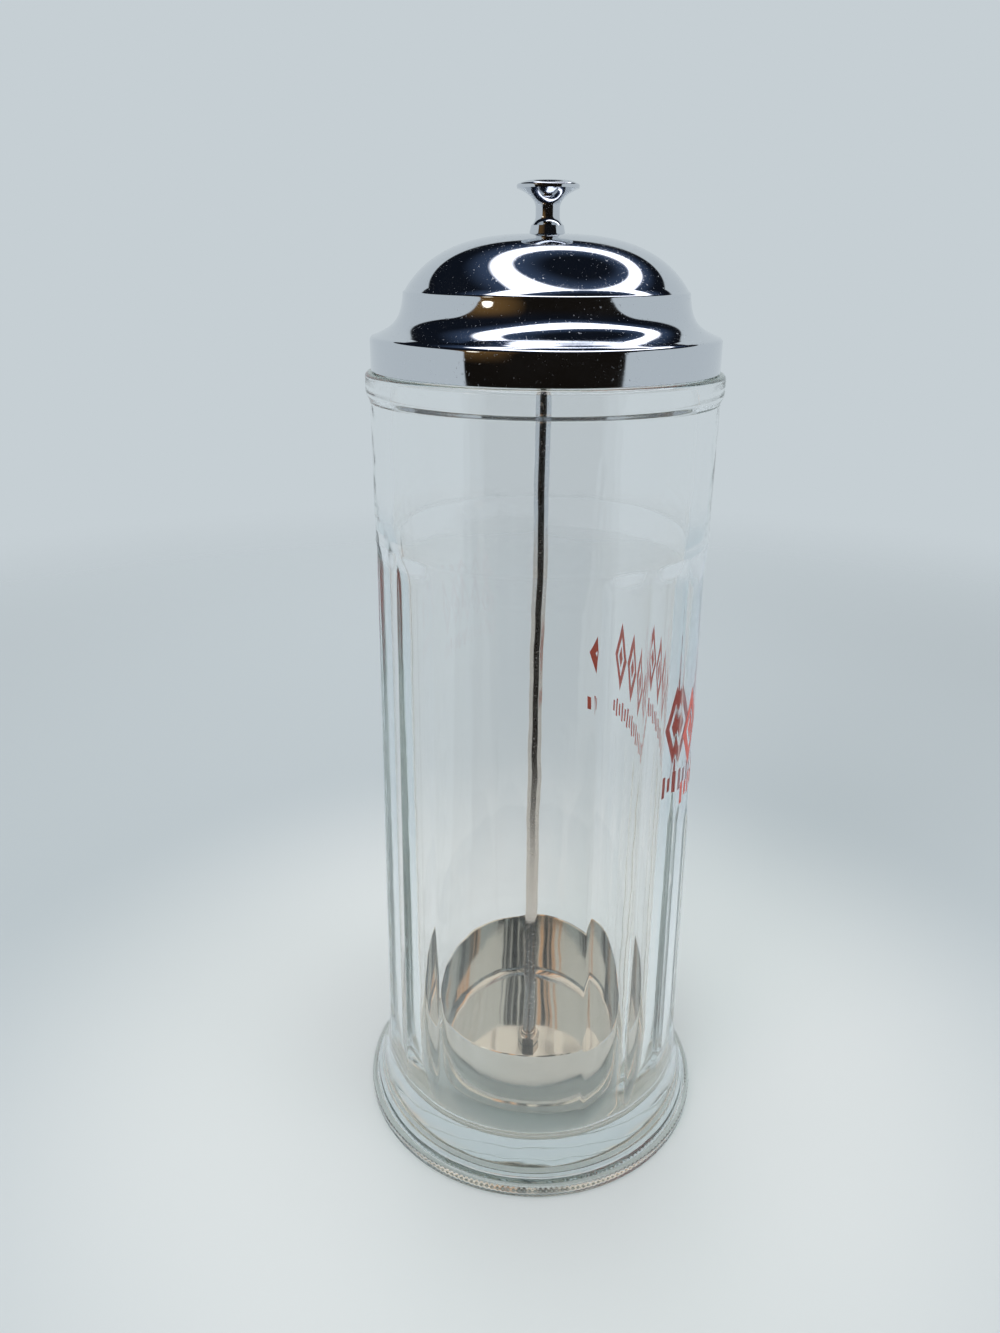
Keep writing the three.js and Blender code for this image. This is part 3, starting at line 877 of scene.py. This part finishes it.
def cup_profile():
    """The cup's half section: up its outside, over the rim and down to the hole in its floor."""
    low, high = (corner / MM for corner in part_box("straw_cup"))
    radius, base, rim = high[0], low[2], high[2]
    centre = radius - CUP_CORNER
    inner = radius - CUP_SHEET
    inset, drop = CUP_RIM_ROUND
    return (
        [(CUP_HOLE_RADIUS, base)]
        + arc((centre, base + CUP_CORNER), CUP_CORNER, -90, 0, 8)
        + [(radius, rim - drop), (radius - inset, rim), (inner + inset, rim), (inner, rim - drop)]
        + arc((centre, base + CUP_CORNER), CUP_CORNER - CUP_SHEET, 0, -90, 8)
        + [(CUP_HOLE_RADIUS, base + CUP_SHEET), (CUP_HOLE_RADIUS, base)]
    )


def polished_stainless():
    """Stainless sheet, machine polished: warm grey, with fine lines that run round the cup."""
    material = bpy.data.materials.new("polished stainless")
    material.use_nodes = True
    tree = material.node_tree
    tree.nodes.clear()
    place = add(tree, "TexCoord", out=3)
    stretched = add(tree, "Mapping", {"Vector": place, "Scale": (1.0, 1.0, 14.0)})
    lines = add(tree, "TexNoise", {"Vector": stretched, "Scale": 1 / (6 * MM), "Detail": 4.0})
    roughness = add(tree, "MapRange", {0: lines, 1: 0.3, 2: 0.7, 3: 0.04, 4: 0.1})
    bump = add(tree, "Bump", {"Height": lines, "Strength": 0.1, "Distance": 0.05 * MM})
    steel = add(
        tree,
        "BsdfPrincipled",
        {
            "Base Color": linear("D3DBE0"),
            "Metallic": 1.0,
            "Roughness": roughness,
            "Normal": bump,
        },
    )
    add(tree, "OutputMaterial", {"Surface": steel})
    return material


cup = turned_piece("drawn_cup", cup_profile(), CUP_SEGMENTS)
cup.data.materials.append(polished_stainless())
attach(cup, "insert")
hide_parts("straw_cup")


# Nuts and washers
# Stock zinc-plated fasteners: an M4 nut with a round boss on the cup's floor, cut from
# hexagonal bar with its corners turned off, and plain nuts and washers under cup and lid.

NUT_FLATS, NUT_TURN = 7.0, -3
NUT_CORNER_CUT = (0.6, 0.35)
BOSS_RADIUS, BOSS_HEIGHT, BOSS_ROUND = 2.75, 1.2, 0.35
NUT_BORE_RADIUS, NUT_SEGMENTS = 2.15, 72
NUT_OVERRUN = 0.1


def cup_floor_nut():
    """A turned blank, wider than the bar, of which the hexagonal bar leaves the six flats."""
    low, high = (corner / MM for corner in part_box("cup_nut"))
    base, top = low[2], high[2]
    shoulder = top - BOSS_HEIGHT
    bar_radius = NUT_FLATS / math.sqrt(3)
    blank_radius = bar_radius + NUT_OVERRUN
    cut_in, cut_down = NUT_CORNER_CUT
    outline = (
        [(NUT_BORE_RADIUS, base), (bar_radius - cut_in, base), (blank_radius, base + cut_down)]
        + [(blank_radius, shoulder - cut_down), (bar_radius - cut_in, shoulder)]
        + [(BOSS_RADIUS, shoulder)]
        + arc((BOSS_RADIUS - BOSS_ROUND, top - BOSS_ROUND), BOSS_ROUND, 0, 90, 5)
        + [(NUT_BORE_RADIUS, top), (NUT_BORE_RADIUS, base)]
    )
    nut = turned_piece("cup_floor_nut", outline, NUT_SEGMENTS)
    deselect_all()
    bpy.ops.mesh.primitive_cylinder_add(
        vertices=6,
        radius=bar_radius * MM,
        depth=2 * (top - base) * MM,
        location=(0, 0, (base + top) / 2 * MM),
        rotation=(0, 0, math.radians(30 + NUT_TURN)),
    )
    bar = bpy.context.object
    cut = nut.modifiers.new("hexagonal bar", "BOOLEAN")
    cut.operation, cut.solver, cut.object = "INTERSECT", "EXACT", bar
    bpy.context.view_layer.objects.active = nut
    bpy.ops.object.modifier_apply(modifier=cut.name)
    bpy.data.objects.remove(bar)
    nut.select_set(True)
    bpy.ops.object.shade_smooth_by_angle(angle=math.radians(SMOOTH_BELOW))
    return nut


def zinc_plate():
    """Bright zinc plate: a pale, faintly mottled metal that still mirrors what is near it."""
    material = bpy.data.materials.new("bright zinc plate")
    material.use_nodes = True
    tree = material.node_tree
    tree.nodes.clear()
    place = add(tree, "TexCoord", out=3)
    mottle = add(tree, "TexNoise", {"Vector": place, "Scale": 1 / (1.5 * MM), "Detail": 3.0})
    dull, bright = linear("C2C4C5"), linear("DEE0E0")
    tone = add(tree, "Mix", {0: mottle, 6: dull, 7: bright}, out=2, data_type="RGBA")
    roughness = add(tree, "MapRange", {0: mottle, 3: 0.06, 4: 0.16})
    metal = add(
        tree, "BsdfPrincipled", {"Base Color": tone, "Metallic": 1.0, "Roughness": roughness}
    )
    add(tree, "OutputMaterial", {"Surface": metal})
    return material


zinc = zinc_plate()
nut = cup_floor_nut()
nut.data.materials.append(zinc)
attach(nut, "insert")
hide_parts("cup_nut")
for name in ("cup_thin_nut", "cup_washer", "lid_nut", "lid_washer"):
    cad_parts[name].data.materials.clear()
    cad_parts[name].data.materials.append(zinc)
